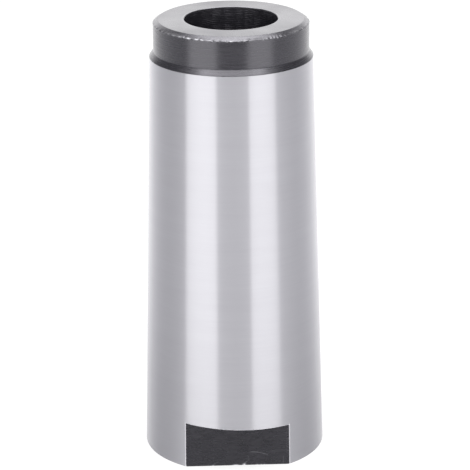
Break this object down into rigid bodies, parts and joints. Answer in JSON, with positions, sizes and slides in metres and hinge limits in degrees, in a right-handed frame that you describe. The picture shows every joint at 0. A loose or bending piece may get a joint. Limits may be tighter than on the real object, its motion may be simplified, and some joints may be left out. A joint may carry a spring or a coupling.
{
  "type": "morse taper sleeve",
  "caption": "Open-ended reducing sleeve: ground Morse taper outside, smaller Morse socket inside, blackened turned neck at the small end and opposed spanner flats at the big end.",
  "frame": {"origin": "centre of the big-end face, which the sleeve stands on", "axes": "+Z along the taper's axis towards the small end; the spanner flats face -Y and +Y"},
  "size_m": [0.0448, 0.0442, 0.109],
  "materials": {
    "sleeve_steel": "cylindrically ground taper, with the neck, flats and bore left heat-treatment black"
  },
  "bodies": {
    "root": {"sleeve": "sleeve_steel"}
  },
  "joints": []
}
